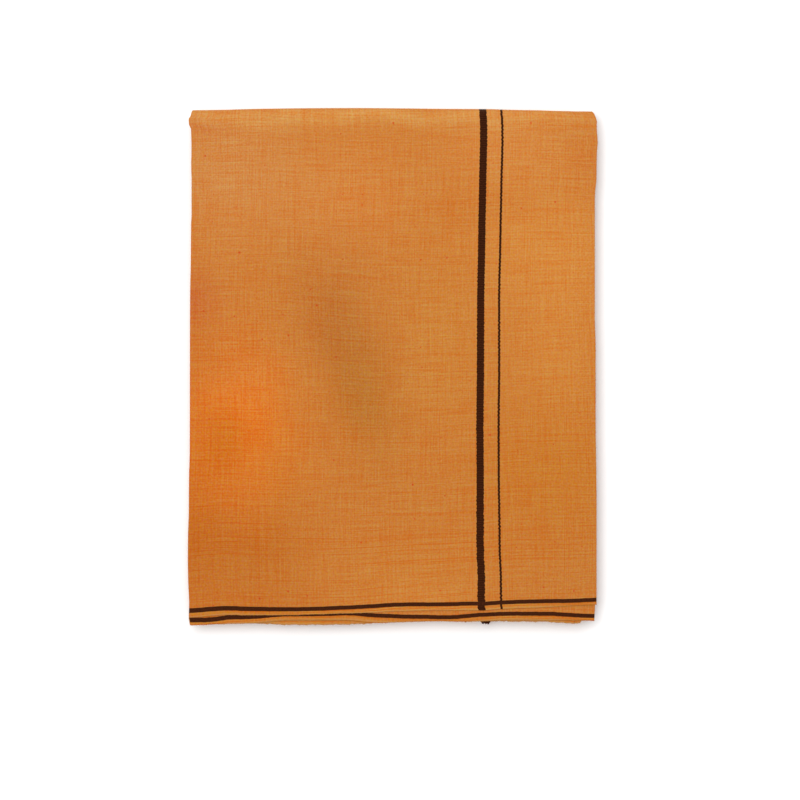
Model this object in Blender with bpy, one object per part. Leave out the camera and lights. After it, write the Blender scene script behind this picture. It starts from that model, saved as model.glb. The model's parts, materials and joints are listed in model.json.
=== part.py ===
"""A dhoti: one woven length of cotton, pressed and folded into a flat bundle.

The cloth is folded to and fro in eight sections along its length, then twice across its width, so
the bundle is 32 layers thick. Its second fold across the width is the bundle's top edge, at +Y. All
the selvedges lie at the bottom edge, at -Y, each a little apart from the next. The front faces +Z,
and the underside rests flat at z = 0.

Metres, +Z up, with the origin below the middle of the bundle.
"""
import math

import bmesh
import bpy

# Cut and folds of the cloth
CLOTH_LENGTH = 2.000
CLOTH_WIDTH = 1.250
SECTIONS = 8
PANELS = 4
LAYERS = SECTIONS * PANELS
LAYER_PITCH = 0.0140 / 32

# Bundle. It is a little taller than a quarter of the cut, because the folds and selvedges are spread.
THICKNESS = LAYERS * LAYER_PITCH
HALF_WIDTH = CLOTH_LENGTH / SECTIONS / 2
FOLD_SPREAD = 0.0060
HALF_HEIGHT = (CLOTH_WIDTH / PANELS + FOLD_SPREAD) / 2
TOP_RADIUS = THICKNESS / 2
TOP_AXIS_Y = HALF_HEIGHT - TOP_RADIUS
FOOT_RADIUS = THICKNESS / 4
FOOT_FOLD_SHORT = 0.0042
FOOT_AXIS_Y = FOOT_FOLD_SHORT + FOOT_RADIUS - HALF_HEIGHT

# Walls: each layer in view is a wall, and the layers below the front one step in at the sides
WALL = 0.0010
GAP = 0.0003
NEXT_LAYER = WALL + GAP
SECOND_LAYER_INSET = 0.0006
THIRD_LAYER_INSET = 0.0010

# Front face: how far it lies below the full thickness, away from the top fold
DISH_DEPTH = 0.0007
FOOT_DROP = 0.0007
RIPPLE = 0.00015
RIPPLE_LENGTH = 0.150
RIPPLE_SLANT = 0.6
RISE_LENGTH = 0.060

# Side edges of the upper half: how far past half the width they reach, up the bundle
SIDE_COLUMNS = ("y", "left", "right")
SIDES = (
    (0.1507, 0.0003, 0.0011),
    (0.1427, -0.0008, 0.0006),
    (0.1212, -0.0008, 0.0005),
    (0.0966, -0.0014, -0.0008),
    (0.0412, -0.0002, -0.0008),
    (-0.0203, -0.0002, 0.0005),
    (-0.0510, -0.0002, -0.0002),
    (-0.0818, 0.0005, 0.0005),
    (-0.1187, 0.0011, 0.0005),
    (-0.1560, 0.0006, 0.0005),
)
BACK_INSET = 0.0008
CORNER_CUT = 0.0027

# Selvedges at the bottom edge: how far each layer stops short of the foot, across the bundle
SELVEDGE_COLUMNS = ("x", "outer", "second", "third", "inner")
SELVEDGES = (
    (-0.1255, 0.0052, 0.0000, 0.0016, 0.0030),
    (-0.1015, 0.0066, 0.0014, 0.0020, 0.0032),
    (-0.0820, 0.0064, 0.0016, 0.0012, 0.0026),
    (-0.0630, 0.0062, 0.0033, 0.0006, 0.0022),
    (-0.0330, 0.0069, 0.0034, 0.0007, 0.0020),
    (-0.0080, 0.0084, 0.0017, 0.0022, 0.0030),
    (0.0290, 0.0095, 0.0026, 0.0034, 0.0038),
    (0.0475, 0.0097, 0.0024, 0.0026, 0.0034),
    (0.0660, 0.0106, 0.0034, 0.0026, 0.0036),
    (0.1030, 0.0120, 0.0033, 0.0018, 0.0034),
    (0.1150, 0.0125, 0.0032, 0.0013, 0.0036),
    (0.1190, 0.0127, 0.0032, 0.0040, 0.0042),
    (0.1255, 0.0130, 0.0032, 0.0040, 0.0042),
)

# Hidden layers: beads along the sides and ridges along the bottom edge, a few cloth folds in each
BEADS = 5
BEAD_STEPS = ("groove", "crest", "crest")
BEAD_DEPTH = 0.0008
SELVEDGE_STEP = 0.0008
MIDDLE_GAP = 0.0003
TUCK_LENGTH = 0.012
TUCK_ROOM = 0.0015
LAYER_STOP_Y = TOP_AXIS_Y - 0.018
INNER_RISE_Y = (TOP_AXIS_Y - 0.016, TOP_AXIS_Y - 0.006)

# Fineness of the surfaces
COLUMNS = 16
RIM_SHARE = 0.006
FRONT_ROWS = 12
FIRST_ROW_Y = -0.126
NOSE_ANGLES = (25, 50, 72)
FOLD_ANGLES = (22.5, 45, 67.5, 90, 112.5, 135, 157.5, 180)
HOOK_ANGLES = (36, 72, 108, 144, 180)
EDGE_ROUND = 0.0004

# Colours
COTTON = (0.62, 0.23, 0.058, 1.0)
COTTON_SHADE = (0.56, 0.20, 0.048, 1.0)
COTTON_ROUGHNESS = 0.85


def smooth(t):
    """Ease from 0 to 1 while t goes from 0 to 1."""
    t = min(1.0, max(0.0, t))
    return t * t * (3.0 - 2.0 * t)


def read_table(rows, names, at, name):
    """Value of a named column at a place, eased between the rows."""
    column = names.index(name)
    rows = sorted(rows)
    if at <= rows[0][0]:
        return rows[0][column]
    for low, high in zip(rows, rows[1:]):
        if at <= high[0]:
            share = smooth((at - low[0]) / (high[0] - low[0]))
            return low[column] + (high[column] - low[column]) * share
    return rows[-1][column]


def foot_edge(share, layer):
    """Where a layer's selvedge lies at a share of the width."""
    x = HALF_WIDTH * (2.0 * share - 1.0)
    return read_table(SELVEDGES, SELVEDGE_COLUMNS, x, layer) - HALF_HEIGHT


def front_height(x, y):
    """Height of the front face. It is highest at the top fold, and dips in the middle."""
    away = smooth((TOP_AXIS_Y - y) / RISE_LENGTH)
    aside = min(1.0, abs(x) / HALF_WIDTH)
    down = (TOP_AXIS_Y - y) / (TOP_AXIS_Y - FOOT_AXIS_Y)
    dish = DISH_DEPTH * (1.0 - aside * aside)
    drop = FOOT_DROP * smooth(down)
    turn = 2.0 * math.pi / RIPPLE_LENGTH
    ripple = RIPPLE * (1.0 + math.sin(turn * (x + RIPPLE_SLANT * y)))
    return THICKNESS - away * (dish + drop + ripple)


def front_sides(y):
    """Left and right edges of the upper half at a height up the bundle."""
    left = -HALF_WIDTH - read_table(SIDES, SIDE_COLUMNS, y, "left")
    right = HALF_WIDTH + read_table(SIDES, SIDE_COLUMNS, y, "right")
    return left, right


def back_sides():
    return BACK_INSET - HALF_WIDTH, HALF_WIDTH - BACK_INSET


def across(share, sides, inset):
    """Place across the bundle, drawn in from both sides by the inset."""
    left = sides[0] + inset
    right = sides[1] - inset
    return left + (right - left) * share


def column_shares():
    """Shares of the width, with a narrow column at each side where the edge is rounded."""
    step = (1.0 - 2.0 * RIM_SHARE) / (COLUMNS - 2)
    return [0.0] + [RIM_SHARE + step * n for n in range(COLUMNS - 1)] + [1.0]


def front_rows():
    """Heights of the rows of points up the front, from above the foot to where the under layers stop."""
    step = (LAYER_STOP_Y - FIRST_ROW_Y) / FRONT_ROWS
    return [FIRST_ROW_Y + step * n for n in range(FRONT_ROWS + 1)]


def edge_inset(place, count):
    """A wall's faces stop short of its rounded rim."""
    return EDGE_ROUND if place in (0, count) else 0.0


def closed_block(name, stations, columns, levels, point, colour):
    """Solid skin of a warped block of points: stations along it, columns across, levels through."""
    sizes = (stations, columns, levels)
    mesh = bmesh.new()
    made = {}

    def vertex(key):
        if key not in made:
            made[key] = mesh.verts.new(point(*key))
        return made[key]

    for axis in range(3):
        first, second = [k for k in range(3) if k != axis]
        for end in (0, sizes[axis]):
            for i in range(sizes[first]):
                for j in range(sizes[second]):
                    corners = []
                    for step_i, step_j in ((0, 0), (1, 0), (1, 1), (0, 1)):
                        key = [0, 0, 0]
                        key[axis] = end
                        key[first] = i + step_i
                        key[second] = j + step_j
                        corners.append(vertex(tuple(key)))
                    mesh.faces.new(corners)
    bmesh.ops.recalc_face_normals(mesh, faces=mesh.faces)
    data = bpy.data.meshes.new(name)
    mesh.to_mesh(data)
    mesh.free()
    data.shade_smooth()
    data.set_sharp_from_angle(angle=math.radians(40))
    data.materials.append(cotton(name, colour))
    thing = bpy.data.objects.new(name, data)
    bpy.context.scene.collection.objects.link(thing)
    return thing


def cotton(name, colour):
    material = bpy.data.materials.new(name + "_cotton")
    material.use_nodes = True
    shader = material.node_tree.nodes["Principled BSDF"]
    shader.inputs["Base Color"].default_value = colour
    shader.inputs["Roughness"].default_value = COTTON_ROUGHNESS
    shader.inputs["Metallic"].default_value = 0.0
    return material


def fold_sides(angle):
    """Left and right edges round the top fold, where the corners are cut back."""
    to_back = smooth(angle / 180.0)
    cut = CORNER_CUT * math.sin(math.radians(angle)) ** 2
    front_left, front_right = front_sides(TOP_AXIS_Y)
    back_left, back_right = back_sides()
    left = front_left + (back_left - front_left) * to_back
    right = front_right + (back_right - front_right) * to_back
    return left + cut, right - cut


def outer_layer():
    """The layer in view: the front, round the top fold, the underside, and its tuck at the foot."""
    shares = column_shares()
    levels = 2
    route = [("foot", 0.0)] + [("front", y) for y in front_rows() + [TOP_AXIS_Y]]
    route += [("fold", angle) for angle in FOLD_ANGLES]
    route += [("back", 0.0), ("back", FOOT_AXIS_Y)]
    route += [("hook", angle) for angle in HOOK_ANGLES]
    route += [("arm", FOOT_AXIS_Y + TUCK_LENGTH)]

    def point(station, column, level):
        kind, value = route[station]
        depth = WALL * level / levels
        inset = edge_inset(level, levels)
        if kind in ("foot", "front"):
            y = value
            if kind == "foot":
                y = foot_edge(shares[column], "outer") + inset
            x = across(shares[column], front_sides(y), inset)
            return x, y, front_height(x, y) - depth
        if kind == "fold":
            x = across(shares[column], fold_sides(value), inset)
            turn = math.radians(value)
            radius = TOP_RADIUS - depth
            return x, TOP_AXIS_Y + radius * math.sin(turn), TOP_RADIUS + radius * math.cos(turn)
        x = across(shares[column], back_sides(), inset)
        if kind == "back":
            return x, value, depth
        if kind == "hook":
            turn = math.radians(value)
            radius = FOOT_RADIUS - depth
            return x, FOOT_AXIS_Y - radius * math.sin(turn), FOOT_RADIUS - radius * math.cos(turn)
        return x, value - inset, 2.0 * FOOT_RADIUS - depth

    return closed_block("outer_layer", len(route) - 1, COLUMNS, levels, point, COTTON)


def under_layer(name, selvedge_name, depth, side_inset):
    """A layer that shows only at the bottom edge and the sides, parallel to the front."""
    shares = column_shares()
    levels = 2
    rows = front_rows()

    def point(station, column, level):
        inset = edge_inset(level, levels)
        if station == 0:
            y = foot_edge(shares[column], selvedge_name) + inset
        else:
            y = rows[station - 1]
        x = across(shares[column], front_sides(y), inset + side_inset)
        return x, y, front_height(x, y) - depth - WALL * level / levels

    return closed_block(name, len(rows), COLUMNS, levels, point, COTTON_SHADE)


def inner_layers():
    """The hidden layers as one rounded strip, folded round the top, with beads at its edges."""
    shares = column_shares()
    levels = BEADS * len(BEAD_STEPS)
    tuck_end = FOOT_AXIS_Y + TUCK_LENGTH + TUCK_ROOM
    above_tuck = tuck_end + TUCK_ROOM
    rows = [tuck_end, above_tuck] + front_rows() + list(INNER_RISE_Y) + [TOP_AXIS_Y]
    route = [("foot", 0.0)] + [("front", y) for y in rows]
    route += [("fold", angle) for angle in FOLD_ANGLES]
    route += [("back", y) for y in (0.0, above_tuck, tuck_end, FOOT_AXIS_Y)]
    route += [("nose", angle) for angle in NOSE_ANGLES]
    nose_radius = FOOT_RADIUS - NEXT_LAYER
    clear_of_tuck = 2.0 * FOOT_RADIUS - NEXT_LAYER
    middle_low = TOP_RADIUS - MIDDLE_GAP / 2
    middle_high = TOP_RADIUS + MIDDLE_GAP / 2

    def is_groove(level):
        return level == levels or BEAD_STEPS[level % len(BEAD_STEPS)] == "groove"

    def front_depth(y):
        start, end = INNER_RISE_Y
        share = smooth((y - start) / (end - start))
        return NEXT_LAYER * (3.0 - 2.0 * share)

    def point(station, column, level):
        kind, value = route[station]
        share = level / levels
        inset = NEXT_LAYER + (BEAD_DEPTH if is_groove(level) else 0.0)
        if kind in ("foot", "front"):
            y = value
            if kind == "foot":
                y = foot_edge(shares[column], "inner") + (SELVEDGE_STEP if is_groove(level) else 0.0)
            x = across(shares[column], front_sides(y), inset)
            high = front_height(x, y) - front_depth(y)
            low = middle_high + GAP * smooth((above_tuck - y) / TUCK_ROOM)
            return x, y, high + (low - high) * share
        if kind == "fold":
            x = across(shares[column], fold_sides(value), inset)
            turn = math.radians(value)
            outside = TOP_RADIUS - NEXT_LAYER
            radius = outside + (MIDDLE_GAP / 2 - outside) * share
            return x, TOP_AXIS_Y + radius * math.sin(turn), TOP_RADIUS + radius * math.cos(turn)
        x = across(shares[column], back_sides(), inset)
        if kind == "nose":
            turn = math.radians(value)
            y = FOOT_AXIS_Y - nose_radius * math.sin(turn)
            half = nose_radius * math.cos(turn)
            return x, y, FOOT_RADIUS - half + 2.0 * half * share
        ceiling = middle_low if value >= above_tuck else clear_of_tuck
        return x, value, NEXT_LAYER + (ceiling - NEXT_LAYER) * share

    return closed_block("inner_layers", len(route) - 1, COLUMNS, levels, point, COTTON_SHADE)


def main():
    for thing in list(bpy.data.objects):
        bpy.data.objects.remove(thing)
    outer_layer()
    under_layer("second_layer", "second", NEXT_LAYER, SECOND_LAYER_INSET)
    under_layer("third_layer", "third", 2.0 * NEXT_LAYER, THIRD_LAYER_INSET)
    inner_layers()


main()
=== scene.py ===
"""A pressed and folded cotton dhoti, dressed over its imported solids.

The cloth is one woven length, folded to and fro in eight sections and then in four across. Each
section in view is a piece of its own: a node tree sweeps the section's folded outline along the
path of the two cross folds, and the piece then settles to the edges that a folder's hands left.
Laid out as an add-on, and run as a script. Metres, in the frame of the solids.
"""
import json
import math

import bpy
import numpy as np
from bpy.props import FloatProperty, FloatVectorProperty, IntProperty, PointerProperty
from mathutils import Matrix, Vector

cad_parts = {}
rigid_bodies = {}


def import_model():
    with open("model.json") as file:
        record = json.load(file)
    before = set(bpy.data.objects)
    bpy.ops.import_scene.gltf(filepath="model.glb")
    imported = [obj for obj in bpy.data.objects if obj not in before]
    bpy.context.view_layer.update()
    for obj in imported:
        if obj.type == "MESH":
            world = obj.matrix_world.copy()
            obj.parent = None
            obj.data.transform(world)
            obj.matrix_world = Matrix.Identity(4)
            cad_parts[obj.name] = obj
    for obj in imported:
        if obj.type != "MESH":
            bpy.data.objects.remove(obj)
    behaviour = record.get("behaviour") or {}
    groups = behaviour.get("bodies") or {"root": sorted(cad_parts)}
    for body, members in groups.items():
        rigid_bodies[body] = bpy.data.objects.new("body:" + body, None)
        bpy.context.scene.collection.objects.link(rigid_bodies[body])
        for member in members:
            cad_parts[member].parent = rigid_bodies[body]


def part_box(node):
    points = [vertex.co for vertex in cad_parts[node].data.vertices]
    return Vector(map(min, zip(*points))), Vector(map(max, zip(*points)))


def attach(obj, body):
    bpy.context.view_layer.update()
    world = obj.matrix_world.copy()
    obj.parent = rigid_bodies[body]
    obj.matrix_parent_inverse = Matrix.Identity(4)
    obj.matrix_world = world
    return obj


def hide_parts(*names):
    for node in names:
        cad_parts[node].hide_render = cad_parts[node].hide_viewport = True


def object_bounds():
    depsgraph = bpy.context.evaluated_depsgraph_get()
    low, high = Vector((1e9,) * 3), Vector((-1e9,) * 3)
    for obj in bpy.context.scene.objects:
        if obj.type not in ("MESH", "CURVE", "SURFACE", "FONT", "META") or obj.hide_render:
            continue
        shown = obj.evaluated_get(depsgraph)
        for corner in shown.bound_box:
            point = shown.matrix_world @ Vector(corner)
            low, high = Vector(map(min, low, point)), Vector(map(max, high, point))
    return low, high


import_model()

bl_info = {
    "name": "Folded dhoti",
    "version": (1, 0, 0),
    "blender": (4, 5, 0),
    "location": "3D View > Sidebar > Dhoti",
    "description": "Weaves and folds a striped cotton dhoti over its solids",
    "category": "Object",
}

# The solids' sizes
CAD_LOW, CAD_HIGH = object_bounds()
THICKNESS = CAD_HIGH.z - CAD_LOW.z
HALF_HEIGHT = CAD_HIGH.y
TOP_RADIUS = THICKNESS / 2
TOP_AXIS_Y = HALF_HEIGHT - TOP_RADIUS
FOOT_RADIUS = THICKNESS / 4
FOOT_AXIS_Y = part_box("outer_layer")[0].y + FOOT_RADIUS

# The cut, and how it is folded
CLOTH_LENGTH = 2.000
CLOTH_WIDTH = 1.250
SECTIONS = 8
SECTION_WIDTH = CLOTH_LENGTH / SECTIONS
HALF_WIDTH = SECTION_WIDTH / 2
OUTER_DEPTH = 0.00017
INNER_DEPTH = 0.00331
LAYER_PITCH = (INNER_DEPTH - OUTER_DEPTH) / (SECTIONS - 1)
BEAD_RADIUS = LAYER_PITCH / 2
MIDDLE_DEPTH = THICKNESS / 8
SEAM_INSET = 0.012

# Front face, as in the solids: how far it lies below the full thickness
DISH_DEPTH = 0.0007
FOOT_DROP = 0.0007
RIPPLE = 0.00015
RIPPLE_LENGTH = 0.150
RIPPLE_SLANT = 0.6
RISE_LENGTH = 0.060

# Side edges of the upper half: how far past half the width they reach, up the bundle
SIDES = {
    "left": {
        "y": (-0.1540, -0.1460, -0.1310, -0.1175, -0.1050, -0.0880, -0.0700, -0.0510, 0.0050,
              0.0410, 0.0690, 0.0870, 0.0965, 0.1110, 0.1240, 0.1330, 0.1440, 0.1470, 0.1490,
              0.1508, 0.1530),
        "past": (0.0005, 0.0003, 0.0009, 0.0011, 0.0010, 0.0005, 0.0004, -0.0001, -0.0002,
                 -0.0003, -0.0008, -0.0009, -0.0014, -0.0014, -0.0010, -0.0012, -0.0010, -0.0009,
                 0.0003, 0.0006, 0.0005),
    },
    "right": {
        "y": (-0.1540, -0.0880, -0.0700, -0.0500, -0.0330, -0.0080, 0.0130, 0.0300, 0.0500,
              0.1040, 0.1085, 0.1150, 0.1240, 0.1330, 0.1375, 0.1410, 0.1480, 0.1504, 0.1530),
        "past": (0.0002, 0.0002, 0.0001, -0.0002, -0.0004, -0.0004, -0.0004, -0.0009, -0.0009,
                 -0.0009, -0.0006, 0.0001, 0.0002, 0.0004, 0.0009, 0.0007, 0.0002, 0.0007, 0.0007),
    },
}
SIDE_ZONE = 0.045
BACK_INSETS = {"left": 0.0008, "right": 0.0024}

# Corners of the top fold: how far each is drawn in, up the bundle
CORNERS = {
    "left": {"y": (0.1528, 0.1536, 0.1544, 0.1568, 0.1592),
             "cut": (0.0, 0.0005, 0.0010, 0.0012, 0.0015)},
    "right": {"y": (0.1500, 0.1507, 0.1521, 0.1544, 0.1566, 0.1592),
              "cut": (0.0, 0.0002, 0.0006, 0.0011, 0.0016, 0.0024)},
}

# Top fold: how far past its straight line it reaches, across the bundle
TOP_FOLD = {
    "x": (-0.1240, -0.1060, -0.0880, -0.0510, -0.0260, 0.0040, 0.0290, 0.0600, 0.0720, 0.0900,
          0.1030, 0.1210),
    "past": (-0.0006, -0.0004, 0.0001, 0.0006, 0.0007, 0.0005, 0.0002, 0.0000, -0.0004, -0.0007,
             -0.0011, -0.0014),
}
TOP_ZONE = 0.090

# Sway of the two end stripes: how far the cloth lies to the right of straight, up the bundle
SWAY = {
    "y": (-0.1500, -0.1460, -0.1280, -0.1130, -0.0970, -0.0660, -0.0350, -0.0050, 0.0410, 0.0720,
          0.1030, 0.1180, 0.1330, 0.1460, 0.1570),
    "wide": (-0.0003, -0.0008, -0.0009, -0.0014, -0.0016, -0.0014, -0.0016, -0.0013, -0.0011, -0.0006,
             -0.0001, 0.0002, 0.0005, 0.0007, 0.0003),
    "thin": (0.0005, 0.0001, -0.0002, -0.0008, -0.0010, -0.0014, -0.0015, -0.0012, -0.0012, -0.0006,
             0.0000, 0.0003, 0.0007, 0.0008, 0.0003),
}

# Soft creases of the front: middle, length, width, turn in degrees, and depth. Ridges are negative.
CREASES = (
    (-0.036, 0.020, 0.095, 0.030, -62, 0.00050),
    (-0.078, -0.012, 0.100, 0.034, -70, -0.00040),
    (0.074, 0.093, 0.120, 0.018, 17, 0.00032),
    (0.060, 0.075, 0.100, 0.020, 15, -0.00025),
    (-0.108, 0.046, 0.060, 0.014, 24, 0.00028),
    (-0.100, -0.098, 0.085, 0.016, 78, 0.00026),
    (-0.020, -0.118, 0.160, 0.012, 3, 0.00016),
    (0.052, -0.104, 0.120, 0.010, -2, 0.00013),
    (0.105, -0.040, 0.110, 0.016, 84, 0.00020),
    (0.012, 0.122, 0.140, 0.014, -4, 0.00018),
    (-0.070, 0.105, 0.090, 0.020, 52, -0.00022),
    (0.020, -0.045, 0.080, 0.018, 38, 0.00022),
)

# Soft creases of the underside, which leave the floor by their depth
BACK_CREASES = (
    (0.040, 0.060, 0.110, 0.020, -58, 0.00030),
    (-0.060, -0.030, 0.090, 0.014, 22, 0.00024),
    (0.075, -0.085, 0.080, 0.018, 70, 0.00020),
    (-0.030, 0.110, 0.120, 0.012, 5, 0.00018),
)

# Selvedges in view: how far each one stops short of the foot, across the bundle
SELVEDGES = (
    {
        "x": (-0.1255, -0.1015, -0.0880, -0.0695, -0.0510, -0.0326, -0.0172, 0.0043, 0.0474,
              0.0566, 0.0658, 0.0904, 0.1027, 0.1255),
        "short": (0.0052, 0.0068, 0.0066, 0.0066, 0.0070, 0.0076, 0.0080, 0.0091, 0.0097,
                  0.0096, 0.0103, 0.0113, 0.0120, 0.0130),
    },
    {
        "x": (-0.1255, -0.1064, -0.0880, -0.0634, -0.0326, -0.0080, 0.0043, 0.0289, 0.0443,
              0.0720, 0.1027, 0.1242),
        "short": (0.0003, 0.0011, 0.0015, 0.0033, 0.0034, 0.0017, 0.0022, 0.0028, 0.0025,
                  0.0035, 0.0034, 0.0032),
    },
    {
        "x": (-0.1255, -0.1095, -0.1003, -0.0818, -0.0634, -0.0449, -0.0172, 0.0012, 0.0474,
              0.0750, 0.0934, 0.1027, 0.1100, 0.1165, 0.1172, 0.1255),
        "short": (0.0016, 0.0012, 0.0020, 0.0014, 0.0006, 0.0006, 0.0012, 0.0030, 0.0032,
                  0.0026, 0.0025, 0.0019, 0.0015, 0.0016, 0.0038, 0.0040),
    },
)

# How much nearer its selvedge the stripe lies than the cut says, across the bundle
DRIFTS = (
    {
        "x": (-0.1240, -0.1015, -0.0720, -0.0460, -0.0277, -0.0130, 0.0090, 0.0310, 0.0535,
              0.0840, 0.0978, 0.1125, 0.1250),
        "nearer": (-0.0002, 0.0000, 0.0004, 0.0007, 0.0005, 0.0002, 0.0001, 0.0004, 0.0000,
                   0.0001, 0.0005, 0.0011, 0.0010),
    },
    {
        "x": (-0.1240, -0.1140, -0.1090, -0.1050, -0.1005, -0.0750, -0.0560, -0.0380, -0.0200,
              -0.0080, 0.0020, 0.0090, 0.0170, 0.0310, 0.0390, 0.0460, 0.0535, 0.0980, 0.1050,
              0.1125, 0.1200),
        "nearer": (0.0008, 0.0011, 0.0010, 0.0005, 0.0000, 0.0001, 0.0003, 0.0001, -0.0006,
                   -0.0005, 0.0003, 0.0008, 0.0011, 0.0016, 0.0012, 0.0005, 0.0001, 0.0001,
                   0.0005, 0.0008, 0.0011),
    },
)
DRIFT_START = 0.012
DRIFT_LENGTH = 0.080

# Last section's selvedge, a corner of which peeps out under the others with its stripe
PEEK = {
    "x": (-0.1255, 0.0439, 0.0447, 0.0453, 0.0460, 0.0515, 0.0545, 0.0553, 0.0561, 0.0567, 0.0574,
          0.0580, 0.0588, 0.0597, 0.0609, 0.1255),
    "short": (0.0036, 0.0038, 0.0021, 0.0020, 0.0038, 0.0038, 0.0022, 0.0011, 0.0010, 0.0016, 0.0008,
              0.0013, 0.0008, 0.0018, 0.0038, 0.0040),
}
PEEK_COLUMNS = tuple(0.0435 + 0.0004 * n for n in (*range(8), *range(22, 47)))
NOMINAL_SHORT = 0.0045
SETTLE_LENGTH = 0.240

# Fray of the selvedges in view, from the front one down, with its wave lengths and their shares
FRAY = (0.00010, 0.00010, 0.00034)
FRAY_WAVES = ((0.0034, 0.0061, 0.013), (0.35, 0.35, 0.30))

# Hidden edges: how far each stops short of the foot or the side, and how much it wavers
HIDDEN_SHORT = (0.0042, 0.0011)
HIDDEN_WAVES = ((0.012, 0.060, 0.200), (0.12, 0.38, 0.5))
FOLD_INSETS = {"left": (0.0009, 0.0006), "right": (0.0026, 0.0004)}
FIRST_RIGHT_FOLD = (0.0008, 0.0002)
FIRST_RIGHT_END = (0.0005, 0.014)

# Where the settling of one edge goes over into the next
BETWEEN_STRIPES = (0.0550, 0.0115)
SWAY_FADE = (0.150, 0.045)
BACK_BLEND = 0.08

# Rows of points: distances from the selvedge in the fine part, then even steps
FOOT_ROWS = (0.0, 0.0003, 0.0008, 0.0015, 0.0024, 0.0034, 0.0046, 0.0060, 0.0076, 0.0096, 0.0120)
RIM_COLUMNS = (0.0, 0.0003, 0.0010, 0.0025)
TAIL_STEP = 0.0007
BEAD_STEPS = 6

# Soft patches of colour on the first section, which carry painted light and shade on its front: a painted
# warm glow at the left, painted shade of the dent in the middle and at the left edge, a painted highlight
# along the top fold and painted shade under its crease line. The other patches of the front make it
# lighter or darker in places, and the three whose middles lie over 0.35 across are stains on the
# underside. Columns: middle along and across the cloth, half length, half width, turn in degrees, and the
# change of red, green and blue
LIGHT_SHADE_AND_STAIN_PATCHES = (
    # Next two rows: a painted warm glow at the left of the front, with its core
    (0.222, 0.115, 0.034, 0.044, 10, (0.36, 0.00, -0.32)),
    (0.227, 0.108, 0.018, 0.024, 0, (-0.24, -0.12, -0.19)),
    (0.196, 0.100, 0.018, 0.040, 0, (-0.02, -0.03, -0.14)),
    # Next two rows: painted shade of the soft dent in the middle of the front
    (0.162, 0.187, 0.026, 0.042, -12, (-0.12, -0.14, -0.11)),
    (0.142, 0.136, 0.020, 0.040, -15, (-0.13, -0.10, -0.19)),
    # Next row: a redder painted shadow at the left edge
    (0.247, 0.196, 0.017, 0.018, 0, (-0.02, -0.18, 0.03)),
    (0.225, 0.275, 0.045, 0.040, 0, (0.09, 0.21, 0.61)),
    # Next row: painted highlight along the top fold
    (0.140, 0.308, 0.150, 0.006, 0, (0.08, 0.35, 0.74)),
    (0.205, 0.042, 0.030, 0.030, 0, (-0.08, -0.17, -0.32)),
    (0.245, 0.050, 0.022, 0.045, 0, (-0.08, -0.21, -0.40)),
    (0.055, 0.290, 0.040, 0.025, 0, (0.09, 0.16, 0.35)),
    (0.002, 0.278, 0.018, 0.018, 0, (-0.01, -0.06, -0.06)),
    # Next row: painted shade under the crease line at the top left
    (0.243, 0.300, 0.016, 0.006, 0, (-0.03, -0.13, -0.10)),
    (0.225, 0.280, 0.045, 0.032, 0, (-0.05, -0.03, 0.00)),
    (0.215, 0.007, 0.050, 0.011, 0, (-0.01, -0.10, -0.20)),
    (0.105, 0.007, 0.034, 0.012, 0, (0.05, 0.09, 0.12)),
    (0.025, 0.225, 0.042, 0.045, 0, (0.12, 0.22, 0.26)),
    (0.022, 0.157, 0.028, 0.040, 0, (0.08, 0.12, 0.10)),
    (0.150, 0.260, 0.040, 0.030, 0, (0.08, 0.12, 0.27)),
    (0.095, 0.165, 0.025, 0.055, 0, (0.02, 0.10, 0.09)),
    (0.110, 0.022, 0.060, 0.026, 0, (0.03, 0.07, 0.05)),
    (0.025, 0.085, 0.045, 0.042, 0, (0.00, -0.02, -0.25)),
    # Next three rows: stains on the underside
    (0.070, 0.420, 0.050, 0.040, 20, (0.20, 0.02, -0.20)),
    (0.165, 0.500, 0.030, 0.060, -30, (-0.10, -0.14, -0.15)),
    (0.210, 0.390, 0.040, 0.030, 0, (0.08, 0.15, 0.30)),
    (0.246, 0.160, 0.016, 0.075, 0, (-0.03, -0.10, -0.17)),
)

# Oval of the painted warm glow at the left, where the threads also stand apart most
GLOW_OVAL = (0.224, 0.122, 0.034, 0.056, 10)
GLOW_THREAD_CONTRAST = 0.50

# Patterns of the yarn: changes in a metre along and across the cloth, detail, roughness, and a
# shift that sets each apart from the others
PATTERNS = {
    "warp_slubs": (55.0, 1700.0, 1.0, 0.6, 0.0),
    "weft_slubs": (1700.0, 50.0, 1.0, 0.6, 3.0),
    "warp_bands": (9.0, 500.0, 1.0, 0.5, 7.0),
    "weft_bands": (500.0, 9.0, 1.0, 0.5, 11.0),
    "grain": (850.0, 850.0, 1.0, 0.5, 5.0),
    "thick_warp": (16.0, 950.0, 0.0, 0.5, 31.0),
    "thick_weft": (950.0, 14.0, 0.0, 0.5, 37.0),
    "pale_weft": (1300.0, 24.0, 0.0, 0.5, 41.0),
    "pale_warp": (24.0, 1300.0, 0.0, 0.5, 43.0),
    "red_warp": (4.5, 1400.0, 0.0, 0.5, 53.0),
    "margin_cords": (14.0, 1900.0, 1.0, 0.5, 23.0),
    "speckle": (700.0, 700.0, 1.0, 0.5, 29.0),
    "blush": (750.0, 750.0, 1.0, 0.5, 47.0),
    "stripe_lumps": (5.0, 210.0, 1.0, 0.5, 59.0),
    "stripe_wander": (5.0, 700.0, 2.0, 0.6, 13.0),
    "stripe_steps": (3.0, 30.0, 1.0, 0.5, 61.0),
    "dark_wear": (900.0, 1700.0, 2.0, 0.6, 17.0),
}

# How far they take the colour from the warp's to the weft's: swings to both sides, then threads
TONE_SWINGS = (
    ("warp_slubs", 0.76), ("weft_slubs", 0.73), ("warp_bands", 0.18), ("weft_bands", 0.14),
    ("grain", 0.85))
TONE_THREADS = (
    ("thick_warp", -0.16), ("thick_weft", -0.16), ("pale_weft", 0.16), ("pale_warp", 0.18))

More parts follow.
